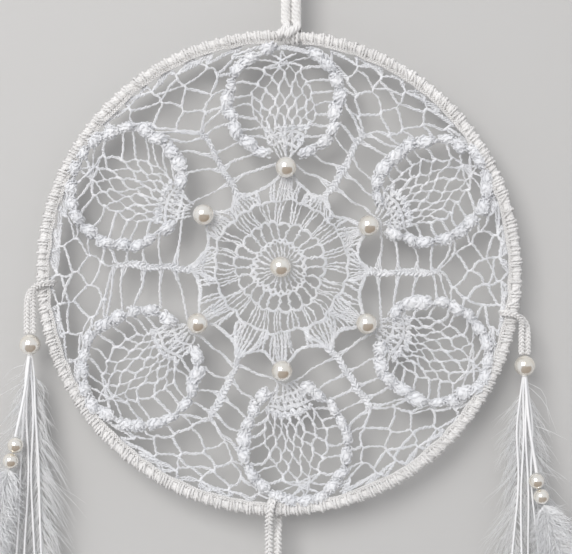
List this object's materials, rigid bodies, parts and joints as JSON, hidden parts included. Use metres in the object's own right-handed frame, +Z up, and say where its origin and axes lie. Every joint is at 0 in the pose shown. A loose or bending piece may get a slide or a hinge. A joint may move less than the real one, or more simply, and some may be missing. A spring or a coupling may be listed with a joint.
{
  "type": "dream catcher",
  "caption": "Round wound hoop filled with a crocheted lace net of leaf motifs with pearl beads, hung from a cord loop, with straps, pearls, strands and feathers below.",
  "frame": {"origin": "where a nail or hook bears on the inside of the top of the hanging loop", "axes": "+Z up, against gravity; the hoop lies in the XZ plane with its front and its pearls towards -Y; +X is to the right as seen from the front"},
  "size_m": [0.276, 0.0146, 0.4234],
  "materials": {
    "cotton": "matte",
    "ring_metal": "satin",
    "pearl": "gloss",
    "satin_thread": "satin",
    "feather": "matte"
  },
  "bodies": {
    "hanger": {"hanger_loop": "cotton"},
    "hitch": {"hanger_hitch": "cotton"},
    "hoop": {"hoop_ring": "ring_metal", "hoop_wrap": "cotton", "doily": "cotton", "pearl_centre": "pearl", "pearl_motif_1": "pearl", "pearl_motif_2": "pearl", "pearl_motif_3": "pearl", "pearl_motif_4": "pearl", "pearl_motif_5": "pearl", "pearl_motif_6": "pearl"},
    "left_strap": {"left_strap": "cotton", "left_pearl": "pearl"},
    "left_tassel": {"left_strand_1": "satin_thread", "left_strand_2": "satin_thread", "left_strand_3": "satin_thread", "left_strand_4": "satin_thread", "left_feather_inner": "feather", "left_feather_outer": "feather"},
    "left_drop": {"left_string": "satin_thread", "left_bead_upper": "pearl", "left_bead_lower": "pearl", "left_plume": "feather"},
    "right_strap": {"right_strap": "cotton", "right_pearl": "pearl"},
    "right_tassel": {"right_strand_1": "satin_thread", "right_strand_2": "satin_thread", "right_strand_3": "satin_thread", "right_strand_4": "satin_thread", "right_feather_inner": "feather", "right_feather_outer": "feather"},
    "right_drop": {"right_string": "satin_thread", "right_bead_upper": "pearl", "right_bead_lower": "pearl", "right_plume": "feather"},
    "lower_strap": {"lower_strap": "cotton", "lower_pearl": "pearl"},
    "lower_tassel": {"lower_strand_1": "satin_thread", "lower_strand_2": "satin_thread", "lower_strand_3": "satin_thread", "lower_strand_4": "satin_thread", "lower_feather_inner": "feather", "lower_feather_outer": "feather"},
    "lower_drop": {"lower_string": "satin_thread", "lower_bead_upper": "pearl", "lower_bead_lower": "pearl", "lower_plume": "feather"}
  },
  "joints": [
    {"name": "hoop_turn", "type": "hinge", "parent": "hanger", "child": "hitch", "pos_m": [0, 0, -0.06418], "axis": [0, 0, 1], "range_deg": [-90, 90]},
    {"name": "hoop_tilt", "type": "hinge", "parent": "hitch", "child": "hoop", "pos_m": [0, 0, -0.06418], "axis": [0.9987, 0, -0.051], "range_deg": [-70, 70]},
    {"name": "left_strap_swing", "type": "hinge", "parent": "hoop", "child": "left_strap", "pos_m": [-0.10792, 0, -0.16696], "axis": [0, 1, 0], "range_deg": [-6, 25]},
    {"name": "left_tassel_swing", "type": "hinge", "parent": "left_strap", "child": "left_tassel", "pos_m": [-0.10792, 0, -0.19161], "axis": [1, 0, 0], "range_deg": [-40, 40]},
    {"name": "left_drop_swing", "type": "hinge", "parent": "left_tassel", "child": "left_drop", "pos_m": [-0.10792, 0, -0.19161], "axis": [0, 1, 0], "range_deg": [0, 25]},
    {"name": "right_strap_swing", "type": "hinge", "parent": "hoop", "child": "right_strap", "pos_m": [0.0965, 0, -0.17935], "axis": [0, 1, 0], "range_deg": [-25, 6]},
    {"name": "right_tassel_swing", "type": "hinge", "parent": "right_strap", "child": "right_tassel", "pos_m": [0.0965, 0, -0.2003], "axis": [1, 0, 0], "range_deg": [-40, 40]},
    {"name": "right_drop_swing", "type": "hinge", "parent": "right_tassel", "child": "right_drop", "pos_m": [0.0965, 0, -0.2003], "axis": [0, 1, 0], "range_deg": [-25, 0]},
    {"name": "lower_strap_swing", "type": "hinge", "parent": "hoop", "child": "lower_strap", "pos_m": [-0.00731, 0, -0.25992], "axis": [1, 0, 0], "range_deg": [-75, 75]},
    {"name": "lower_tassel_swing", "type": "hinge", "parent": "lower_strap", "child": "lower_tassel", "pos_m": [-0.00731, 0, -0.28857], "axis": [0, 1, 0], "range_deg": [-35, 35]},
    {"name": "lower_drop_swing", "type": "hinge", "parent": "lower_tassel", "child": "lower_drop", "pos_m": [-0.00731, 0, -0.28857], "axis": [0, 1, 0], "range_deg": [-25, 0]}
  ]
}
